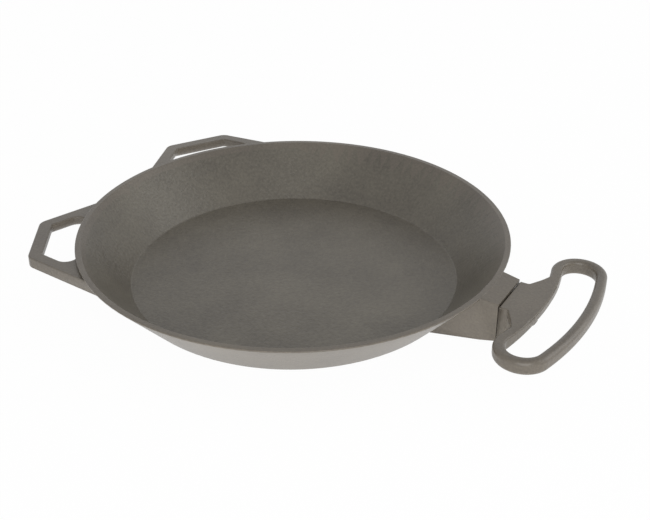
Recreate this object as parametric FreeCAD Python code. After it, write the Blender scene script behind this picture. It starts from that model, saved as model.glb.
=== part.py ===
"""Cast iron pan with two cast side handles and a loop handle that draws out of a socket.

Millimetres. Z is up and z = 0 is the flat underside that stands on the table.
The origin is the centre of that underside, and +X runs out along the loop handle.
"""
import FreeCAD, Part
import math
import os

# Dish: a flat floor and a straight flared wall that ends in a level lip
rim_radius = 170.0
dish_depth = 39.2
wall_spread = 38.8
floor_inset = 0.8
floor_thickness = 3.6
floor_corner_radius = 1.5
base_edge_radius = 8.0
lip_thickness = 4.3
lip_edge_radius = 0.8

# Side handles: two half-hexagon plates, mirrored about the long handle's line
side_handle_angle = 32.4
side_handle_projection = 34.0
side_handle_end_length = 56.0
side_handle_splay = 38.3
side_handle_thickness = 9.2
side_handle_drop = 4.0
side_handle_corner_radius = 9.0
side_handle_edge_radius = 1.2
side_bar_width = 10.5
side_arm_width = 10.2
side_opening_corner_radius = 2.0
side_opening_root_radius = 8.5
side_grip_radius = 5.5

# Socket block: grows out of the wall under the lip, closed on top
socket_reach = 12.1
socket_width = 41.2
socket_flare = 1.2
socket_top_step = 0.5
socket_top_fall = 1.7
socket_drop = 32.9
socket_root_height = 1.1
socket_edge_radius = 0.8
seam_gap = 0.6
seam_chamfer = 0.3

# Tongue of the loop handle, and the mortise in the socket block that takes it
mortise_depth = 17.05
tongue_width = 26.0
tongue_height = 15.2
tongue_edge_radius = 1.2
window_side_gap = 0.6
fit_gap = 0.3

# Loop handle: deep neck, thin web and a ring that is concentric with the pan
neck_underside_rise = 1.5
neck_corner_cut = 3.2
web_drop = 3.8
web_thickness = 6.4
web_length = 18.3
web_edge_radius = 1.0
flare_start = 2.4
flare_corner_radius = 2.0
flare_bend_radius = 40.0
flare_reach = 8.4
flare_width = 83.0
flare_bend_reach_share = 0.42
flare_bend_width_share = 0.47
finger_gap = 24.9
loop_length = 155.0
bar_width = 8.3
bar_height = 12.0
bar_round_share = 0.48
finger_edge_radius = 1.5
finger_under_radius = 2.0
finger_bead = 0.7
finger_end_bead = 3.7
even_bead_share = 0.27

# Grip lever: rocks on a pin in the neck, tooth at one end and finger pad at the other
hub_radius = 4.5
hub_width = 16.0
hub_front_gap = 1.1
hub_overhang = 0.9
pivot_lift = 3.8
nose_width = 12.0
nose_thickness = 3.6
nose_lift = 2.7
nose_edge_radius = 1.0
tooth_length = 4.8
tooth_inset = 0.6
tooth_height = 6.0
tooth_play = 0.5
pad_width = 19.0
pad_thickness = 3.0
pad_lift = 2.4
pad_reach = 16.3
pad_setback = 1.0
pad_edge_radius = 1.2
pad_tip_radius = 8.0
lever_gap = 0.4

# Pin that the lever rocks on, driven in from the left cheek and blind in the right one
pin_radius = 2.0
pin_seat_gap = 0.02
pin_running_gap = 0.05
pin_recess = 2.5
pin_blind_wall = 6.6
pin_chamfer = 0.4

# Spring that pushes the finger pad down again
spring_wire = 0.9
spring_mean_radius = 3.0
spring_turns = 5.25
spring_offset = 10.0
spring_end_gap = 0.1
spring_pocket_depth = 3.0
spring_pocket_gap = 0.5
spigot_gap = 0.55
spigot_height = 2.2
arcs_per_turn = 4
gap_samples_per_turn = 48

# Cuts run past the faces that they open by this much
overrun = 5.0

# Heights that follow from the sizes above
rim_height = floor_thickness + dish_depth
socket_underside_height = rim_height - socket_drop
web_height = rim_height - web_drop
web_underside_height = web_height - web_thickness
tongue_bottom_height = web_underside_height - tongue_height
pivot_height = tongue_bottom_height + pivot_lift
nose_roof_height = pivot_height + nose_lift
pad_top_height = pivot_height + pad_lift
bar_underside_height = web_height - bar_height

# Radii and places along the loop handle that follow from them
base_radius = rim_radius - wall_spread
floor_radius = base_radius - floor_inset
seam_x = rim_radius + socket_reach
handle_x = seam_x + seam_gap
mortise_x = seam_x - mortise_depth
tongue_x = mortise_x + fit_gap
pivot_x = handle_x + hub_front_gap + hub_radius
neck_end_x = pivot_x + hub_radius - hub_overhang
loop_opening_radius = neck_end_x + web_length
loop_outer_radius = loop_opening_radius + finger_gap + bar_width
ring_inner_line = loop_opening_radius - bar_width / 2
ring_outer_line = loop_outer_radius - bar_width / 2
spring_x = pivot_x + spring_offset
spigot_radius = spring_mean_radius - spring_wire / 2 - spigot_gap


def vec(x, y, z=0.0):
    return FreeCAD.Vector(x, y, z)


def rounded_wire(corners):
    """Closed wire in the XY plane through (x, y, radius) corners, each rounded by its radius."""
    count = len(corners)
    edges = []
    first = None
    last = None
    for i in range(count):
        corner = vec(corners[i][0], corners[i][1])
        before = vec(corners[i - 1][0], corners[i - 1][1])
        after = vec(corners[(i + 1) % count][0], corners[(i + 1) % count][1])
        radius = corners[i][2]
        back = (before - corner).normalize()
        ahead = (after - corner).normalize()
        start = corner
        end = corner
        if radius > 0:
            half = back.getAngle(ahead) / 2
            middle_direction = (back + ahead).normalize()
            start = corner + back * (radius / math.tan(half))
            end = corner + ahead * (radius / math.tan(half))
            middle = corner + middle_direction * (radius / math.sin(half) - radius)
        if last is None:
            first = start
        else:
            edges.append(Part.LineSegment(last, start).toShape())
        if radius > 0:
            edges.append(Part.Arc(start, middle, end).toShape())
        last = end
    edges.append(Part.LineSegment(last, first).toShape())
    return Part.Wire(edges)


def plan_prism(corners, low, high):
    """Upright prism over a plan outline, from height low to height high."""
    face = Part.Face(rounded_wire(corners))
    face.translate(vec(0, 0, low))
    return face.extrude(vec(0, 0, high - low))


def side_prism(corners, width):
    """Prism across Y, width wide and centred, over an outline of (x, z, radius) corners."""
    face = Part.Face(rounded_wire(corners))
    face.rotate(vec(0, 0, 0), vec(1, 0, 0), 90)
    face.translate(vec(0, width / 2, 0))
    return face.extrude(vec(0, -width, 0))


def block(x0, x1, width, z0, z1):
    return Part.makeBox(x1 - x0, width, z1 - z0, vec(x0, -width / 2, z0))


def cross_cylinder(x, z, radius, y0, y1):
    return Part.makeCylinder(radius, y1 - y0, vec(x, y0, z), vec(0, 1, 0))


def edges_between(shape, low, high):
    """Edges of a shape whose box lies within the two corners."""
    found = []
    for edge in shape.Edges:
        box = edge.BoundBox
        inside_low = box.XMin >= low.x and box.YMin >= low.y and box.ZMin >= low.z
        inside_high = box.XMax <= high.x and box.YMax <= high.y and box.ZMax <= high.z
        if inside_low and inside_high:
            found.append(edge)
    return found


def wall_outside(z):
    """Radius of the wall's outer side at a height, on the straight line that touches the lip's rounding."""
    run = rim_radius - lip_edge_radius - base_radius
    rise = rim_height - lip_edge_radius
    lean = math.atan2(run, rise) + math.asin(lip_edge_radius / math.hypot(run, rise))
    return base_radius + math.tan(lean) * z


def dish_profile(cavity_only):
    """Half section of the dish, or of the space inside it, as (radius, z, rounding) corners."""
    mouth_radius = rim_radius - lip_thickness
    if cavity_only:
        above = rim_height + overrun
        slope = (mouth_radius - floor_radius) / (rim_height - floor_thickness)
        top_radius = floor_radius + slope * (above - floor_thickness)
        return [
            (0, floor_thickness, 0),
            (floor_radius, floor_thickness, floor_corner_radius),
            (top_radius, above, 0),
            (0, above, 0),
        ]
    return [
        (0, 0, 0),
        (base_radius, 0, base_edge_radius),
        (wall_outside(rim_height), rim_height, lip_edge_radius),
        (mouth_radius, rim_height, lip_edge_radius),
        (floor_radius, floor_thickness, floor_corner_radius),
        (0, floor_thickness, 0),
    ]


def turned(profile):
    """Solid of revolution about Z from (radius, z, rounding) corners."""
    face = Part.Face(rounded_wire(profile))
    face.rotate(vec(0, 0, 0), vec(1, 0, 0), 90)
    return face.revolve(vec(0, 0, 0), vec(0, 0, 1), 360)


def side_handle():
    """Half-hexagon plate with one opening, drawn along +X, reaching into the wall."""
    top = rim_height - side_handle_drop
    low = top - side_handle_thickness
    end_x = rim_radius + side_handle_projection
    half_end = side_handle_end_length / 2
    splay = math.radians(side_handle_splay)
    reach = half_end * math.cos(splay) + end_x * math.sin(splay)
    root_x = reach * math.sin(splay)
    root_y = reach * math.cos(splay)
    outline = [
        (end_x, -half_end, side_handle_corner_radius),
        (end_x, half_end, side_handle_corner_radius),
        (root_x, root_y, 0),
        (root_x, -root_y, 0),
    ]
    plate = plan_prism(outline, low, top)
    hole_x = end_x - side_bar_width
    arm_shift = side_arm_width / math.cos(splay)
    hole_y = half_end + side_bar_width * math.tan(splay) - arm_shift
    foot_x = rim_radius - lip_thickness
    foot_y = hole_y + (hole_x - foot_x) * math.tan(splay)
    hole = plan_prism(
        [
            (hole_x, -hole_y, side_opening_corner_radius),
            (hole_x, hole_y, side_opening_corner_radius),
            (foot_x, foot_y, side_opening_root_radius),
            (foot_x, -foot_y, side_opening_root_radius),
        ],
        low - overrun,
        top + overrun,
    )
    plate = plate.cut(hole)
    small_edges = []
    for edge in plate.Edges:
        box = edge.BoundBox
        level = box.ZLength < fit_gap
        in_opening = box.XMax < hole_x + fit_gap and box.ZMax < low + fit_gap
        if level and box.XMax > rim_radius and not in_opening:
            small_edges.append(edge)
    plate = plate.makeFillet(side_handle_edge_radius, small_edges)
    grip_edges = edges_between(
        plate,
        vec(foot_x - fit_gap, -foot_y, low - fit_gap),
        vec(hole_x + fit_gap, foot_y, low + fit_gap),
    )
    return plate.makeFillet(side_grip_radius, grip_edges)


def socket_block():
    """Block under the lip with a sloping top and underside, before its mortise is cut."""
    half = socket_width / 2
    root_x = base_radius
    plan = plan_prism(
        [
            (seam_x, -half, 0),
            (seam_x, half, 0),
            (rim_radius, half + socket_flare, 0),
            (root_x, half + socket_flare, 0),
            (root_x, -half - socket_flare, 0),
            (rim_radius, -half - socket_flare, 0),
        ],
        0,
        rim_height,
    )
    side = side_prism(
        [
            (root_x, socket_root_height, 0),
            (seam_x, socket_underside_height, 0),
            (seam_x, rim_height - socket_top_step - socket_top_fall, 0),
            (rim_radius, rim_height - socket_top_step, 0),
            (root_x, rim_height - socket_top_step, 0),
        ],
        socket_width + 2 * socket_flare + overrun,
    )
    body = plan.common(side)
    seam_edges = edges_between(
        body,
        vec(seam_x - fit_gap, -socket_width, 0),
        vec(seam_x + fit_gap, socket_width, rim_height),
    )
    body = body.makeChamfer(seam_chamfer, seam_edges)
    fold = []
    for edge in body.Edges:
        box = edge.BoundBox
        on_top = box.ZMin > rim_height - socket_top_step - socket_top_fall - fit_gap
        along = box.XLength > socket_reach / 2 and box.XMax > rim_radius + fit_gap
        if on_top and along:
            fold.append(edge)
    return body.makeFillet(socket_edge_radius, fold)


def mortise():
    """Space for the tongue, open at the seam, with the window that the lever's tooth drops into."""
    low = tongue_bottom_height - fit_gap
    high = web_underside_height + fit_gap
    space = block(mortise_x, seam_x + overrun, tongue_width + 2 * fit_gap, low, high)
    window_end = tongue_x + tooth_inset + tooth_length + 2 * tooth_play + lever_gap
    window = block(mortise_x, window_end, nose_width + 2 * window_side_gap, 0, low + fit_gap)
    return space.fuse(window)


def pan_casting():
    """Dish, two side handles and the socket block in one casting."""
    body = turned(dish_profile(False))
    cavity = turned(dish_profile(True))
    for side in (1, -1):
        handle = side_handle()
        handle.rotate(vec(0, 0, 0), vec(0, 0, 1), 180 - side * side_handle_angle)
        body = body.fuse(handle.cut(cavity))
    body = body.fuse(socket_block().cut(cavity))
    return body.cut(mortise()).removeSplitter()


def bar_section(profile, angle):
    """Upright section of the ring's bar at an angle about Z, from (radius, z, rounding) corners."""
    section = rounded_wire(profile)
    section.rotate(vec(0, 0, 0), vec(1, 0, 0), 90)
    section.rotate(vec(0, 0, 0), vec(0, 0, 1), math.degrees(angle))
    return section


def ring():
    """Bar round the finger opening: full height outside, a low bead along the web, deeper toward the ends."""
    end_radius = (ring_outer_line - ring_inner_line) / 2
    middle_radius = (ring_outer_line + ring_inner_line) / 2
    end_y = loop_length / 2 - bar_width / 2 - end_radius
    end_angle = math.asin(end_y / middle_radius)
    even_angle = end_angle * even_bead_share
    bar_round = bar_width * bar_round_share
    back_round = web_thickness * bar_round_share
    outside = [
        (loop_outer_radius, bar_underside_height, bar_round),
        (loop_outer_radius - bar_width, bar_underside_height, bar_round),
        (loop_outer_radius - bar_width, web_height, bar_round),
        (loop_outer_radius, web_height, bar_round),
    ]

    def web_side(bead):
        return [
            (loop_opening_radius - bar_width, web_underside_height - bead, back_round),
            (loop_opening_radius, web_underside_height - bead, finger_under_radius),
            (loop_opening_radius, web_height, finger_edge_radius),
            (loop_opening_radius - bar_width, web_height, back_round),
        ]

    def polar(radius, angle):
        return vec(radius * math.cos(angle), radius * math.sin(angle), web_height)

    def bar_along(path, sections):
        return Part.Wire([path.toShape()]).makePipeShell(sections, True, False)

    bars = []
    for profile, half_angle in ((outside, end_angle), (web_side(finger_bead), even_angle)):
        face = Part.Face(bar_section(profile, -half_angle))
        bars.append(face.revolve(vec(0, 0, 0), vec(0, 0, 1), 2 * math.degrees(half_angle)))
    for side in (1, -1):
        end = side * end_angle
        even = side * even_angle
        tip = polar(middle_radius, end) + vec(-math.sin(end_angle), side * math.cos(end_angle)) * end_radius
        bend = Part.Arc(polar(ring_outer_line, end), tip, polar(ring_inner_line, end))
        deep = bar_section(web_side(finger_end_bead), end)
        bars.append(bar_along(bend, [bar_section(outside, end), deep]))
        half_way = polar(ring_inner_line, (even + end) / 2)
        slope = Part.Arc(polar(ring_inner_line, even), half_way, polar(ring_inner_line, end))
        bars.append(bar_along(slope, [bar_section(web_side(finger_bead), even), deep]))
    return bars[0].fuse(bars[1:]).removeSplitter()


def neck_and_web():
    """Deep neck at the seam and the thin web that flares from it to the ring."""
    half = socket_width / 2
    bend_x = neck_end_x + flare_reach * flare_bend_reach_share
    bend_y = half + (flare_width / 2 - half) * flare_bend_width_share
    mouth_x = neck_end_x + flare_reach
    far_x = loop_opening_radius
    turn_x = neck_end_x - flare_start
    outline = [
        (handle_x, -half, 0),
        (turn_x, -half, flare_corner_radius),
        (bend_x, -bend_y, flare_bend_radius),
        (mouth_x, -flare_width / 2, 0),
        (far_x, -flare_width / 2, 0),
        (far_x, flare_width / 2, 0),
        (mouth_x, flare_width / 2, 0),
        (bend_x, bend_y, flare_bend_radius),
        (turn_x, half, flare_corner_radius),
        (handle_x, half, 0),
    ]
    web = plan_prism(outline, web_underside_height, web_height)
    disc = Part.makeCylinder(ring_inner_line, web_height + overrun)
    web = web.common(disc)
    neck = side_prism(
        [
            (handle_x, socket_underside_height, 0),
            (neck_end_x, socket_underside_height + neck_underside_rise, 0),
            (neck_end_x, web_height, 0),
            (handle_x, web_height, 0),
        ],
        socket_width,
    )
    corners = edges_between(
        neck,
        vec(neck_end_x - fit_gap, -socket_width, 0),
        vec(neck_end_x + fit_gap, socket_width, rim_height),
    )
    upright = [edge for edge in corners if edge.BoundBox.YLength < fit_gap]
    neck = neck.makeChamfer(neck_corner_cut, upright)
    body = web.fuse(neck).removeSplitter()
    top_edges = []
    for edge in body.Edges:
        box = edge.BoundBox
        on_top = box.ZMin > web_height - fit_gap
        on_ring = box.XMax > mouth_x
        if on_top and not on_ring:
            top_edges.append(edge)
    return body.makeFillet(web_edge_radius, top_edges)


def tongue():
    """Tenon that carries the pan, with its corners rounded."""
    body = block(
        tongue_x,
        handle_x + fit_gap,
        tongue_width,
        tongue_bottom_height,
        web_underside_height,
    )
    end_edges = edges_between(
        body,
        vec(tongue_x - fit_gap, -tongue_width, 0),
        vec(tongue_x + fit_gap, tongue_width, rim_height),
    )
    return body.makeFillet(tongue_edge_radius, end_edges)


def lever_space():
    """Room for the lever in the tongue and the neck, open below and at both ends."""
    slot = block(
        tongue_x - overrun,
        handle_x,
        nose_width + 2 * lever_gap,
        tongue_bottom_height - overrun,
        nose_roof_height + fit_gap,
    )
    channel = block(
        handle_x - fit_gap,
        neck_end_x + overrun,
        hub_width + 2 * lever_gap,
        0,
        pivot_height + hub_radius + lever_gap,
    )
    return slot.fuse(channel)


def handle_casting():
    """Ring, web, neck and tongue in one casting."""
    body = ring().fuse(neck_and_web()).fuse(tongue())
    body = body.cut(lever_space())
    blind_y = -socket_width / 2 + pin_blind_wall - pin_seat_gap
    body = body.cut(cross_cylinder(pivot_x, pivot_height, pin_radius + pin_seat_gap, blind_y, socket_width))
    pocket_radius = spring_mean_radius + spring_wire / 2 + spring_pocket_gap
    pocket = Part.makeCylinder(
        pocket_radius,
        spring_pocket_depth + overrun,
        vec(spring_x, 0, web_underside_height - overrun),
    )
    return body.cut(pocket).removeSplitter()


def grip_lever():
    """Rocking lever: tooth, nose, hub, finger pad and the spigot that holds the spring."""
    nose_x = tongue_x + tooth_inset
    tooth_end = nose_x + tooth_length
    tooth_low = nose_roof_height - tooth_height
    nose_low = nose_roof_height - nose_thickness
    nose = side_prism(
        [
            (nose_x, tooth_low, nose_edge_radius),
            (tooth_end, tooth_low, nose_edge_radius),
            (tooth_end, nose_low, 0),
            (pivot_x, nose_low, 0),
            (pivot_x, nose_roof_height, 0),
            (nose_x, nose_roof_height, nose_edge_radius),
        ],
        nose_width,
    )
    hub = cross_cylinder(pivot_x, pivot_height, hub_radius, -hub_width / 2, hub_width / 2)
    tip_x = pivot_x + pad_reach
    pad_low = pad_top_height - pad_thickness
    pad = plan_prism(
        [
            (neck_end_x + pad_setback, -pad_width / 2, pad_edge_radius),
            (tip_x, -pad_width / 2, pad_tip_radius),
            (tip_x, pad_width / 2, pad_tip_radius),
            (neck_end_x + pad_setback, pad_width / 2, pad_edge_radius),
        ],
        pad_low,
        pad_top_height,
    )
    pad_edges = edges_between(
        pad,
        vec(pivot_x, -pad_width, pad_low - fit_gap),
        vec(tip_x + fit_gap, pad_width, pad_low + fit_gap),
    )
    pad = pad.makeFillet(pad_edge_radius, pad_edges)
    arm = block(pivot_x, neck_end_x + pad_setback + pad_thickness, hub_width, pad_low, pad_top_height)
    spigot = Part.makeCylinder(spigot_radius, spigot_height + fit_gap, vec(spring_x, 0, pad_top_height - fit_gap))
    body = nose.fuse([hub, arm, pad, spigot])
    bore = cross_cylinder(pivot_x, pivot_height, pin_radius + pin_running_gap, -hub_width, hub_width)
    return body.cut(bore).removeSplitter()


def lever_pin():
    """Steel pin with a small chamfer at each end."""
    y0 = -socket_width / 2 + pin_blind_wall
    y1 = socket_width / 2 - pin_recess
    pin = cross_cylinder(pivot_x, pivot_height, pin_radius, y0, y1)
    rims = [edge for edge in pin.Edges if edge.BoundBox.YLength < pin_chamfer]
    return pin.makeChamfer(pin_chamfer, rims)


def biarc(start, start_direction, end, end_direction):
    """Two arcs that join two points with the given directions."""
    chord = end - start
    both = start_direction + end_direction
    spread = 2 * (1 - start_direction.dot(end_direction))
    lean = chord.dot(both)
    reach = (-lean + math.sqrt(lean * lean + spread * chord.dot(chord))) / spread
    corners = (start + start_direction * reach, end - end_direction * reach)
    joint = (corners[0] + corners[1]) * 0.5
    arcs = []
    for first, corner, second in ((start, corners[0], joint), (joint, corners[1], end)):
        base_middle = (first + second) * 0.5
        half_base = (second - first).Length / 2
        rise = corner - base_middle
        sagitta = half_base * math.tan(math.atan2(rise.Length, half_base) / 2)
        arcs.append(Part.Arc(first, base_middle + rise.normalize() * sagitta, second).toShape())
    return arcs


def lever_spring():
    """Compression spring that stands on the finger pad round its spigot."""
    bottom = pad_top_height + spring_end_gap + spring_wire / 2
    top = web_underside_height + spring_pocket_depth - spring_end_gap - spring_wire / 2
    pitch = (top - bottom) / spring_turns
    climb = pitch / (2 * math.pi)

    def point(angle):
        flat = vec(math.cos(angle), math.sin(angle)) * spring_mean_radius
        return flat + vec(spring_x, 0, bottom + climb * angle)

    def heading(angle):
        flat = vec(-math.sin(angle), math.cos(angle)) * spring_mean_radius
        return (flat + vec(0, 0, climb)).normalize()

    steps = round(spring_turns * arcs_per_turn)
    step = 2 * math.pi * spring_turns / steps
    edges = []
    for i in range(steps):
        edges += biarc(point(i * step), heading(i * step), point((i + 1) * step), heading((i + 1) * step))
    path = Part.Wire(edges)
    section = Part.Wire(Part.makeCircle(spring_wire / 2, point(0), heading(0)))
    samples = [point(2 * math.pi * i / gap_samples_per_turn) for i in range(round(spring_turns * gap_samples_per_turn))]
    least = min(
        (samples[i] - samples[j]).Length
        for i in range(len(samples))
        for j in range(i + gap_samples_per_turn // 2, len(samples))
    )
    print("spring: least gap to itself", round(least - spring_wire, 2), "mm")
    return path.makePipeShell([section], True, False)


pieces = {
    "pan_casting": pan_casting,
    "handle_casting": handle_casting,
    "grip_lever": grip_lever,
    "lever_pin": lever_pin,
    "lever_spring": lever_spring,
}

os.makedirs("parts", exist_ok=True)
for name, make in pieces.items():
    shape = make()
    if len(shape.Solids) == 1:
        shape = shape.Solids[0]
    shape.exportStep("parts/" + name + ".step")
    box = shape.BoundBox
    print(
        name,
        "solids", len(shape.Solids),
        "valid", shape.isValid(),
        "volume cm3", round(shape.Volume / 1000, 2),
        "box", [round(value, 2) for value in (box.XMin, box.YMin, box.ZMin, box.XMax, box.YMax, box.ZMax)],
    )
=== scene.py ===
"""Cast iron pan with a draw-out loop handle: finishes its pieces and sets them in a white studio.

The solids come from the frame and stay where they are. Each piece shown is a smoothed copy of its
solid, or is wound anew where it is a spring, and stands at the origin in metres.
"""

import math

import bmesh
import bpy
from bpy.props import FloatProperty, FloatVectorProperty, IntProperty, PointerProperty
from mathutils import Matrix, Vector


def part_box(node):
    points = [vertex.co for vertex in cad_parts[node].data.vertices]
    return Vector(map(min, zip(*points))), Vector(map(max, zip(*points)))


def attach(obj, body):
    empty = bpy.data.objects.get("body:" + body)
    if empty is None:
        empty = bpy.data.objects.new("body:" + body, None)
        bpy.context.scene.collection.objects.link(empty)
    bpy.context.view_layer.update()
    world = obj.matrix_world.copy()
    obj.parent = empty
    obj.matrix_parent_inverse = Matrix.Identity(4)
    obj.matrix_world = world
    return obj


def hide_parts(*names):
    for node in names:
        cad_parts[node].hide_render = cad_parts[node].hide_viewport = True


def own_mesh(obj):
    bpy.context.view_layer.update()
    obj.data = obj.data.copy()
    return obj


bl_info = {
    "name": "Cast iron pan",
    "version": (1, 0, 0),
    "blender": (4, 5, 0),
    "location": "View3D > Sidebar > Pan",
    "description": "Finishes a cast iron pan with a draw-out loop handle and lights it on a white floor",
    "category": "Add Mesh",
}

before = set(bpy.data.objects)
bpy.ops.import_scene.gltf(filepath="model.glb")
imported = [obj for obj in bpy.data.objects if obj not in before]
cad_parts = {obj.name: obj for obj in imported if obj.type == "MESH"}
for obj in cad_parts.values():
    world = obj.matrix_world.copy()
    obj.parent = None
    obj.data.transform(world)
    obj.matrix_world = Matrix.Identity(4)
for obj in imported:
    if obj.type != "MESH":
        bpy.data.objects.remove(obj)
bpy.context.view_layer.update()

MM = 0.001

# The pan and its spring as they lie in the frame
RIM_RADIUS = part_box("pan_casting")[1][1]
LIP_THICKNESS = 4.3 * MM
SPRING_LOW, SPRING_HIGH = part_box("lever_spring")
# A face of the pan inside the lip is part of the cooking face where it points up by more than this
COOKING_FACE_TILT = 0.2

# Tone of the cast skin: slow clouds from the pour and a fine grain from the sand
CLOUD_SIZE = 60 * MM
CLOUD_DETAIL = 3.0
CLOUD_ROUGHNESS = 0.5
GRAIN_DETAIL = 2.0
GRAIN_ROUGHNESS = 0.6
GRAIN_TONE_SHARE = 0.5
TONE_LOW = 0.3
TONE_HIGH = 0.7

# Relief of the grain: its depth as a share of the grain's size, and its strength on each skin
GRAIN_DEPTH_SHARE = 0.2
OUTSIDE_RELIEF = 0.45
INSIDE_RELIEF = 0.8

# Drawing lines on the steel, the brightest of which are less dull than the rest by this factor
LINE_DETAIL = 2.0
LINE_SHINE = 0.6

# Joining and shading of the copied meshes
MERGE_DISTANCE = 0.002 * MM
WEIGHTED_NORMAL_SHARE = 100

# Floor and sky
FLOOR_SIDES = 96
WHITE = (1, 1, 1, 1)
PLAIN_WHITE_STRENGTH = 1.0


def linear(hex_colour):
    """Linear RGB of an sRGB hex colour, by the formula of the sRGB standard."""
    values = []
    for i in (0, 2, 4):
        share = int(hex_colour[i:i + 2], 16) / 255
        values.append(share / 12.92 if share <= 0.04045 else ((share + 0.055) / 1.055) ** 2.4)
    return values


def add_node(tree, kind, values=None, links=None, **settings):
    """Add a node with its settings, its inputs' values and the sockets that feed it."""
    node = tree.nodes.new(kind)
    for name, value in settings.items():
        setattr(node, name, value)
    for name, value in (values or {}).items():
        node.inputs[name].default_value = value
    for name, socket in (links or {}).items():
        tree.links.new(socket, node.inputs[name])
    return node


def new_material(name):
    """Empty node material and its tree."""
    material = bpy.data.materials.new(name)
    material.use_nodes = True
    material.node_tree.nodes.clear()
    return material, material.node_tree


def cast_iron(name, dark, light, grain, roughness, bump):
    """Sand-cast iron with its oiled skin.

    The sand leaves a fine grain that breaks up the shine, and the pour leaves slow, cloudy changes
    of tone. Oil and oxide cover the metal, so it shines like a thin coat and not like bare steel.
    """
    material, tree = new_material(name)
    place = add_node(tree, "ShaderNodeTexCoord").outputs["Object"]
    cloud = add_node(
        tree, "ShaderNodeTexNoise",
        {"Scale": 1 / CLOUD_SIZE, "Detail": CLOUD_DETAIL, "Roughness": CLOUD_ROUGHNESS},
        {"Vector": place},
    )
    sand = add_node(
        tree, "ShaderNodeTexNoise",
        {"Scale": 1 / grain, "Detail": GRAIN_DETAIL, "Roughness": GRAIN_ROUGHNESS},
        {"Vector": place},
    )
    tone = add_node(
        tree, "ShaderNodeMix", {0: GRAIN_TONE_SHARE},
        {2: cloud.outputs["Fac"], 3: sand.outputs["Fac"]}, data_type="FLOAT",
    )
    spread = add_node(
        tree, "ShaderNodeMapRange", {"From Min": TONE_LOW, "From Max": TONE_HIGH},
        {"Value": tone.outputs[0]},
    )
    colour = add_node(
        tree, "ShaderNodeMix", {6: (*dark, 1), 7: (*light, 1)},
        {0: spread.outputs["Result"]}, data_type="RGBA",
    )
    relief = add_node(
        tree, "ShaderNodeBump", {"Strength": bump, "Distance": grain * GRAIN_DEPTH_SHARE},
        {"Height": sand.outputs["Fac"]},
    )
    skin = add_node(
        tree, "ShaderNodeBsdfPrincipled", {"Roughness": roughness, "Metallic": 0.0},
        {"Base Color": colour.outputs[2], "Normal": relief.outputs["Normal"]},
    )
    add_node(tree, "ShaderNodeOutputMaterial", links={"Surface": skin.outputs["BSDF"]})
    return material


def bare_steel(name, colour, roughness, line_width, line_length):
    """Drawn steel wire and rod: bright metal with the fine lines that the drawing die leaves.

    The lines run along Y and change how dull the metal is, so its shine breaks into thin streaks.
    """
    material, tree = new_material(name)
    place = add_node(tree, "ShaderNodeTexCoord").outputs["Object"]
    drawn = add_node(
        tree, "ShaderNodeMapping", {"Scale": (1 / line_width, 1 / line_length, 1 / line_width)},
        {"Vector": place},
    )
    lines = add_node(
        tree, "ShaderNodeTexNoise", {"Scale": 1.0, "Detail": LINE_DETAIL},
        {"Vector": drawn.outputs["Vector"]},
    )
    dullness = add_node(
        tree, "ShaderNodeMapRange",
        {"To Min": roughness * LINE_SHINE, "To Max": roughness / LINE_SHINE},
        {"Value": lines.outputs["Fac"]},
    )
    metal = add_node(
        tree, "ShaderNodeBsdfPrincipled", {"Base Color": (*colour, 1), "Metallic": 1.0},
        {"Roughness": dullness.outputs["Result"]},
    )
    add_node(tree, "ShaderNodeOutputMaterial", links={"Surface": metal.outputs["BSDF"]})
    return material


def smooth_copy(node_name, piece_name, sharp_angle):
    """Copy of a solid's mesh with its triangles joined and its rounded faces shaded smooth."""
    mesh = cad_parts[node_name].data.copy()
    mesh.name = piece_name
    mesh.materials.clear()
    joined = bmesh.new()
    joined.from_mesh(mesh)
    bmesh.ops.remove_doubles(joined, verts=joined.verts, dist=MERGE_DISTANCE)
    bmesh.ops.dissolve_degenerate(joined, edges=joined.edges, dist=MERGE_DISTANCE)
    joined.to_mesh(mesh)
    joined.free()
    mesh.shade_smooth()
    mesh.set_sharp_from_angle(angle=sharp_angle)
    piece = bpy.data.objects.new(piece_name, mesh)
    bpy.context.scene.collection.objects.link(piece)
    weighted = piece.modifiers.new("even faces", "WEIGHTED_NORMAL")
    weighted.keep_sharp = True
    weighted.weight = WEIGHTED_NORMAL_SHARE
    return piece


def hand_over(piece, node_name, body):
    """Let a piece stand for its solid and move with its body."""
    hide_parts(node_name)
    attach(piece, body)


class CastingLook(bpy.types.PropertyGroup):
    """Colours and finish of the castings."""

    outside_dark: FloatVectorProperty(
        name="Outside, dark", description="Darkest tone of the outer cast skin",
        subtype="COLOR", default=linear("4d4740"),
    )
    outside_light: FloatVectorProperty(
        name="Outside, light", description="Lightest tone of the outer cast skin",
        subtype="COLOR", default=linear("635c51"),
    )
    inside_dark: FloatVectorProperty(
        name="Cooking face, dark", description="Darkest tone of the cooking face",
        subtype="COLOR", default=linear("443f37"),
    )
    inside_light: FloatVectorProperty(
        name="Cooking face, light", description="Lightest tone of the cooking face",
        subtype="COLOR", default=linear("615c51"),
    )
    outside_grain: FloatProperty(
        name="Outside grain", description="Size of the sand grain on the outer skin",
        unit="LENGTH", default=1.8 * MM,
    )
    inside_grain: FloatProperty(
        name="Cooking face grain",
        description="Size of the sand grain on the cooking face, drawn coarser than it is to show",
        unit="LENGTH", default=2.4 * MM,
    )
    roughness: FloatProperty(
        name="Roughness", description="How dull the oiled skin is",
        default=0.35, min=0, max=1, subtype="FACTOR",
    )
    sharp_angle: FloatProperty(
        name="Sharp angle", description="Faces that meet at less than this are shaded as one",
        subtype="ANGLE", default=math.radians(28),
    )


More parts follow.
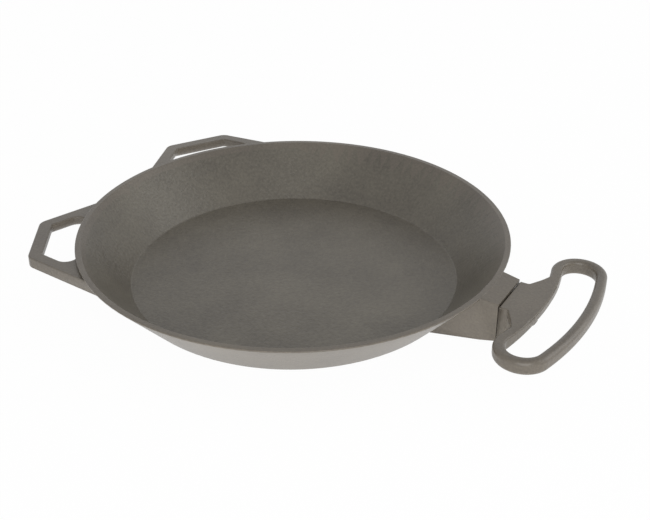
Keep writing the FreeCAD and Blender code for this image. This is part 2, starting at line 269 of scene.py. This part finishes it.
class SteelLook(bpy.types.PropertyGroup):
    """Finish of the lever's pin and spring."""

    colour: FloatVectorProperty(
        name="Steel", description="Colour of the bare steel", subtype="COLOR", default=linear("b4b4b6")
    )
    roughness: FloatProperty(
        name="Roughness", description="How dull the steel is",
        default=0.35, min=0, max=1, subtype="FACTOR",
    )
    line_width: FloatProperty(
        name="Line width", description="Width of a drawing line", unit="LENGTH", default=0.15 * MM
    )
    line_length: FloatProperty(
        name="Line length", description="Length of a drawing line on the rod",
        unit="LENGTH", default=6 * MM,
    )


class SpringSizes(bpy.types.PropertyGroup):
    """Sizes of the lever's spring."""

    wire: FloatProperty(
        name="Wire", description="Diameter of the spring wire", unit="LENGTH", default=0.9 * MM
    )
    turns: FloatProperty(name="Turns", description="Number of turns of the spring", default=5.25)
    turn_steps: IntProperty(
        name="Steps", description="Straight steps in a turn of the wire", default=40
    )
    wire_sides: IntProperty(name="Sides", description="Flat sides round the wire", default=14)


class StudioSetup(bpy.types.PropertyGroup):
    """Floor, light and camera."""

    floor_colour: FloatVectorProperty(
        name="Floor", description="Colour of the floor as the pan sees it",
        subtype="COLOR", default=(0.9, 0.9, 0.9),
    )
    floor_whiteness: FloatProperty(
        name="Floor whiteness", description="How far the floor seen by the camera is plain white",
        default=0.97, min=0, max=1, subtype="FACTOR",
    )
    floor_glow: FloatProperty(
        name="Floor glow", description="Light that the lit paper sends up to the pan by itself",
        default=1.3, min=0,
    )
    floor_radius: FloatProperty(
        name="Floor radius", description="Radius of the floor", unit="LENGTH", default=6.0
    )
    sky: FloatProperty(
        name="Sky", description="Strength of the even light from all sides", default=0.6
    )
    front_lamp_power: FloatProperty(
        name="Front lamp", description="Power of the soft lamp in front", default=24.0, unit="POWER"
    )
    front_lamp_place: FloatVectorProperty(
        name="Front lamp place", description="Where the soft lamp in front stands",
        subtype="TRANSLATION", unit="LENGTH", default=(1.10, -1.66, 0.93),
    )
    side_lamp_power: FloatProperty(
        name="Side lamp", description="Power of the soft lamp at the side", default=12.0, unit="POWER"
    )
    side_lamp_place: FloatVectorProperty(
        name="Side lamp place", description="Where the soft lamp at the side stands",
        subtype="TRANSLATION", unit="LENGTH", default=(1.70, 1.05, 0.93),
    )
    lamp_width: FloatProperty(
        name="Lamp width", description="Width of each soft lamp", unit="LENGTH", default=1.6
    )
    camera_place: FloatVectorProperty(
        name="Camera place", description="Where the camera stands",
        subtype="TRANSLATION", unit="LENGTH", default=(0.4192, -0.6788, 0.4759),
    )
    camera_heading: FloatProperty(
        name="Camera heading", description="Direction in which the camera looks, from +X toward +Y",
        subtype="ANGLE", default=math.radians(119.92),
    )
    camera_dip: FloatProperty(
        name="Camera dip", description="How far the camera looks down",
        subtype="ANGLE", default=math.radians(30.05),
    )
    lens: FloatProperty(
        name="Lens", description="Focal length in millimetres on a 36 mm sensor", default=63.65
    )


class PAN_OT_pan_casting(bpy.types.Operator):
    """Smooth the pan casting and finish its outside and its cooking face"""

    bl_idname = "pan.pan_casting"
    bl_label = "Pan casting"

    def execute(self, context):
        look = context.scene.casting_look
        piece = smooth_copy("pan_casting", "pan", look.sharp_angle)
        outside = cast_iron(
            "sand-cast iron, outer skin", look.outside_dark, look.outside_light,
            look.outside_grain, look.roughness, OUTSIDE_RELIEF,
        )
        inside = cast_iron(
            "sand-cast iron, cooking face", look.inside_dark, look.inside_light,
            look.inside_grain, look.roughness, INSIDE_RELIEF,
        )
        piece.data.materials.append(outside)
        piece.data.materials.append(inside)
        for face in piece.data.polygons:
            away = math.hypot(face.center.x, face.center.y)
            faces_up = face.normal.z > COOKING_FACE_TILT
            if faces_up and away < RIM_RADIUS - 2 * LIP_THICKNESS:
                face.material_index = 1
        hand_over(piece, "pan_casting", "pan")
        return {"FINISHED"}


class PAN_OT_loop_handle(bpy.types.Operator):
    """Smooth the loop handle and the grip lever and give them the cast skin"""

    bl_idname = "pan.loop_handle"
    bl_label = "Loop handle and grip lever"

    def execute(self, context):
        look = context.scene.casting_look
        skin = cast_iron(
            "sand-cast iron, handle skin", look.outside_dark, look.outside_light,
            look.outside_grain, look.roughness, OUTSIDE_RELIEF,
        )
        for node_name, piece_name, body in (
            ("handle_casting", "loop_handle", "handle"),
            ("grip_lever", "lever", "lever"),
        ):
            piece = smooth_copy(node_name, piece_name, look.sharp_angle)
            piece.data.materials.append(skin)
            hand_over(piece, node_name, body)
        return {"FINISHED"}


class PAN_OT_lever_pin(bpy.types.Operator):
    """Smooth the pin that the lever rocks on and give it bare steel"""

    bl_idname = "pan.lever_pin"
    bl_label = "Lever pin"

    def execute(self, context):
        look = context.scene.steel_look
        piece = smooth_copy("lever_pin", "pin", context.scene.casting_look.sharp_angle)
        steel = bare_steel(
            "drawn steel rod", look.colour, look.roughness, look.line_width, look.line_length
        )
        piece.data.materials.append(steel)
        hand_over(piece, "lever_pin", "handle")
        return {"FINISHED"}


def wound_spring_tree(material):
    """Geometry node tree that winds a wire into a coil that stands at a given place."""
    tree = bpy.data.node_groups.new("wound spring", "GeometryNodeTree")
    sockets = {}
    for name, kind in (
        ("Wire radius", "NodeSocketFloat"),
        ("Coil radius", "NodeSocketFloat"),
        ("Turns", "NodeSocketFloat"),
        ("Height", "NodeSocketFloat"),
        ("Steps in a turn", "NodeSocketInt"),
        ("Wire sides", "NodeSocketInt"),
        ("Foot", "NodeSocketVector"),
    ):
        socket = tree.interface.new_socket(name, in_out="INPUT", socket_type=kind)
        sockets[name] = socket.identifier
    tree.interface.new_socket("Geometry", in_out="OUTPUT", socket_type="NodeSocketGeometry")
    sizes = add_node(tree, "NodeGroupInput").outputs
    coil = add_node(
        tree, "GeometryNodeCurveSpiral", {"Reverse": True},
        {
            "Resolution": sizes["Steps in a turn"],
            "Rotations": sizes["Turns"],
            "Start Radius": sizes["Coil radius"],
            "End Radius": sizes["Coil radius"],
            "Height": sizes["Height"],
        },
    )
    profile = add_node(
        tree, "GeometryNodeCurvePrimitiveCircle",
        links={"Resolution": sizes["Wire sides"], "Radius": sizes["Wire radius"]},
    )
    wire = add_node(
        tree, "GeometryNodeCurveToMesh", {"Fill Caps": True},
        {"Curve": coil.outputs["Curve"], "Profile Curve": profile.outputs["Curve"]},
    )
    placed = add_node(
        tree, "GeometryNodeTransform",
        links={"Geometry": wire.outputs["Mesh"], "Translation": sizes["Foot"]},
    )
    real = add_node(
        tree, "GeometryNodeRealizeInstances", links={"Geometry": placed.outputs["Geometry"]}
    )
    painted = add_node(
        tree, "GeometryNodeSetMaterial", {"Material": material},
        {"Geometry": real.outputs["Geometry"]},
    )
    add_node(tree, "NodeGroupOutput", links={"Geometry": painted.outputs["Geometry"]})
    return tree, sockets


class PAN_OT_lever_spring(bpy.types.Operator):
    """Wind the spring that lets the lever go again"""

    bl_idname = "pan.lever_spring"
    bl_label = "Lever spring"

    def execute(self, context):
        look = context.scene.steel_look
        sizes = context.scene.spring_sizes
        wire_radius = sizes.wire / 2
        middle = (Vector(SPRING_LOW) + Vector(SPRING_HIGH)) / 2
        height = SPRING_HIGH[2] - SPRING_LOW[2]
        steel = bare_steel(
            "drawn spring wire", look.colour, look.roughness, look.line_width, look.line_width
        )
        tree, sockets = wound_spring_tree(steel)
        coil = bpy.data.objects.new("spring coil", bpy.data.meshes.new("spring coil"))
        context.scene.collection.objects.link(coil)
        winding = coil.modifiers.new("winding", "NODES")
        winding.node_group = tree
        for name, value in (
            ("Wire radius", wire_radius),
            ("Coil radius", (SPRING_HIGH[0] - SPRING_LOW[0]) / 2 - wire_radius),
            ("Turns", sizes.turns),
            ("Height", height - sizes.wire),
            ("Steps in a turn", sizes.turn_steps),
            ("Wire sides", sizes.wire_sides),
            ("Foot", (middle.x, middle.y, SPRING_LOW[2] + wire_radius)),
        ):
            winding[sockets[name]] = value
        context.view_layer.update()
        finished_coil = coil.evaluated_get(context.evaluated_depsgraph_get())
        wound = bpy.data.meshes.new_from_object(finished_coil)
        bpy.data.objects.remove(coil)
        wound.shade_smooth()
        wound.set_sharp_from_angle(angle=context.scene.casting_look.sharp_angle)
        piece = bpy.data.objects.new("spring", wound)
        context.scene.collection.objects.link(piece)
        hand_over(piece, "lever_spring", "handle")
        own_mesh(piece)
        return {"FINISHED"}


def seen_directly(tree):
    """Socket that is 1 for what is seen straight, in a shine or through glass, and 0 otherwise."""
    ray = add_node(tree, "ShaderNodeLightPath").outputs
    shine = add_node(
        tree, "ShaderNodeMath", links={0: ray["Is Camera Ray"], 1: ray["Is Glossy Ray"]},
        operation="MAXIMUM",
    )
    seen = add_node(
        tree, "ShaderNodeMath", links={0: shine.outputs[0], 1: ray["Is Transmission Ray"]},
        operation="MAXIMUM",
    )
    return seen.outputs[0]


def white_floor(colour, whiteness, glow):
    """White paper on a light table.

    The camera and the shine see it nearly plain white, with a faint trace of the pan's shadow.
    The pan itself gets the paper's own glow from below as well.
    """
    material, tree = new_material("white paper floor")
    matt = add_node(tree, "ShaderNodeBsdfDiffuse", {"Color": (*colour, 1)})
    white = add_node(
        tree, "ShaderNodeEmission", {"Color": WHITE, "Strength": PLAIN_WHITE_STRENGTH}
    )
    seen = seen_directly(tree)
    share = add_node(tree, "ShaderNodeMath", {1: whiteness}, {0: seen}, operation="MULTIPLY")
    shown = add_node(
        tree, "ShaderNodeMixShader",
        links={0: share.outputs[0], 1: matt.outputs["BSDF"], 2: white.outputs["Emission"]},
    )
    upward = add_node(
        tree, "ShaderNodeMapRange", {"To Min": glow, "To Max": 0.0}, {"Value": seen}
    )
    light = add_node(
        tree, "ShaderNodeEmission", {"Color": WHITE}, {"Strength": upward.outputs["Result"]}
    )
    surface = add_node(
        tree, "ShaderNodeAddShader",
        links={0: shown.outputs["Shader"], 1: light.outputs["Emission"]},
    )
    add_node(tree, "ShaderNodeOutputMaterial", links={"Surface": surface.outputs["Shader"]})
    return material


def even_sky(strength):
    """White sky that lights the pan evenly and is plain white where it is seen."""
    world = bpy.data.worlds.new("even white sky")
    world.use_nodes = True
    tree = world.node_tree
    tree.nodes.clear()
    level = add_node(
        tree, "ShaderNodeMapRange", {"To Min": strength, "To Max": PLAIN_WHITE_STRENGTH},
        {"Value": seen_directly(tree)},
    )
    light = add_node(
        tree, "ShaderNodeBackground", {"Color": WHITE}, {"Strength": level.outputs["Result"]}
    )
    add_node(tree, "ShaderNodeOutputWorld", links={"Surface": light.outputs["Background"]})
    return world


class PAN_OT_studio(bpy.types.Operator):
    """Lay the white floor and set the sky, the soft lamps and the camera"""

    bl_idname = "pan.studio"
    bl_label = "White studio"

    def execute(self, context):
        scene = context.scene
        setup = scene.studio_setup
        scene.view_settings.view_transform = "Standard"
        scene.world = even_sky(setup.sky)

        disc = bmesh.new()
        bmesh.ops.create_circle(
            disc, cap_ends=True, segments=FLOOR_SIDES, radius=setup.floor_radius
        )
        mesh = bpy.data.meshes.new("floor")
        disc.to_mesh(mesh)
        disc.free()
        paper = white_floor(setup.floor_colour, setup.floor_whiteness, setup.floor_glow)
        mesh.materials.append(paper)
        floor = bpy.data.objects.new("floor", mesh)
        scene.collection.objects.link(floor)

        for name, power, place in (
            ("soft front lamp", setup.front_lamp_power, setup.front_lamp_place),
            ("soft side lamp", setup.side_lamp_power, setup.side_lamp_place),
        ):
            lamp = bpy.data.lights.new(name, "AREA")
            lamp.energy = power
            lamp.size = setup.lamp_width
            lamp_object = bpy.data.objects.new(name, lamp)
            lamp_object.location = place
            lamp_object.rotation_euler = (-Vector(place)).to_track_quat("-Z", "Y").to_euler()
            scene.collection.objects.link(lamp_object)

        camera = bpy.data.cameras.new("camera")
        camera.lens = setup.lens
        camera_object = bpy.data.objects.new("camera", camera)
        camera_object.location = setup.camera_place
        quarter = math.pi / 2
        camera_object.rotation_euler = (
            quarter - setup.camera_dip, 0, setup.camera_heading - quarter
        )
        scene.collection.objects.link(camera_object)
        scene.camera = camera_object
        return {"FINISHED"}


class PAN_PT_panel(bpy.types.Panel):
    """Lists the pan's pieces in the sidebar"""

    bl_label = "Cast iron pan"
    bl_idname = "PAN_PT_panel"
    bl_space_type = "VIEW_3D"
    bl_region_type = "UI"
    bl_category = "Pan"

    def draw(self, context):
        column = self.layout.column()
        for operator in STEPS:
            column.operator(operator.bl_idname)
        for group_name, group in SETTINGS.items():
            box = self.layout.box()
            for name in group.__annotations__:
                box.prop(getattr(context.scene, group_name), name)


STEPS = (
    PAN_OT_studio,
    PAN_OT_pan_casting,
    PAN_OT_loop_handle,
    PAN_OT_lever_pin,
    PAN_OT_lever_spring,
)
SETTINGS = {
    "casting_look": CastingLook,
    "steel_look": SteelLook,
    "spring_sizes": SpringSizes,
    "studio_setup": StudioSetup,
}


def register():
    """Make the settings, the operators and the panel known to Blender."""
    for group_name, group in SETTINGS.items():
        bpy.utils.register_class(group)
        setattr(bpy.types.Scene, group_name, PointerProperty(type=group))
    for operator in STEPS:
        bpy.utils.register_class(operator)
    bpy.utils.register_class(PAN_PT_panel)


def unregister():
    """Take the panel, the operators and the settings out again."""
    bpy.utils.unregister_class(PAN_PT_panel)
    for operator in reversed(STEPS):
        bpy.utils.unregister_class(operator)
    for group_name, group in SETTINGS.items():
        delattr(bpy.types.Scene, group_name)
        bpy.utils.unregister_class(group)


def main():
    """Build the studio and the pieces."""
    register()
    bpy.ops.pan.studio()
    bpy.ops.pan.pan_casting()
    bpy.ops.pan.loop_handle()
    bpy.ops.pan.lever_pin()
    bpy.ops.pan.lever_spring()


if __name__ == "__main__":
    main()
